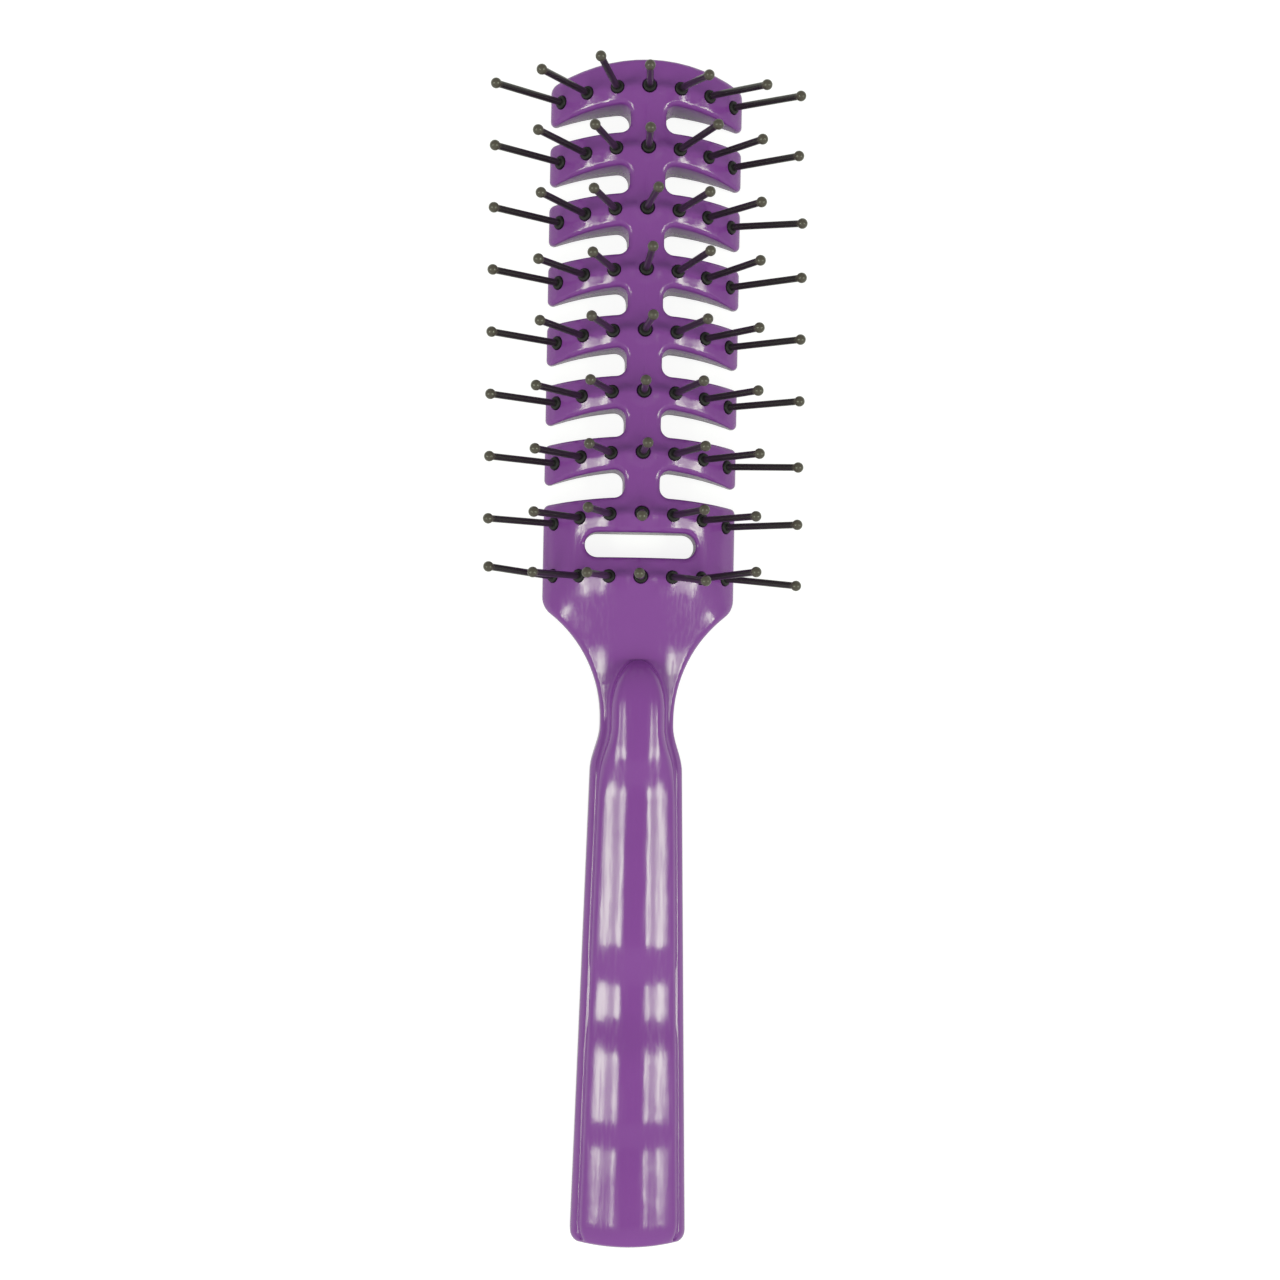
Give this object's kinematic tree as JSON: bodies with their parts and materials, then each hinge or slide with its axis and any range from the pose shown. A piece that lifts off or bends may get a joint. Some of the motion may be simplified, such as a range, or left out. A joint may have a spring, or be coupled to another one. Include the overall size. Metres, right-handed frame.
{
  "type": "vent brush",
  "caption": "Hair brush with a crowned, ribbed and slotted head open to the air, rows of ball-tipped pins, and a slim handle with a raised grip.",
  "frame": {"origin": "middle of the brush's length and width, at the flat back that it rests on", "axes": "+X across the brush, +Y from the handle to the tip of the head, +Z the way the pins point"},
  "size_m": [0.0584, 0.2214, 0.029],
  "materials": {
    "body": "glossy moulded purple plastic",
    "pins": "near-black moulded nylon"
  },
  "bodies": {
    "root": {"brush_body": "body", "bristle_strip_1": "pins", "bristle_strip_2": "pins", "bristle_strip_3": "pins", "bristle_strip_4": "pins", "bristle_strip_5": "pins", "bristle_strip_6": "pins", "bristle_strip_7": "pins", "bristle_strip_8": "pins", "bristle_strip_9": "pins"}
  },
  "joints": []
}
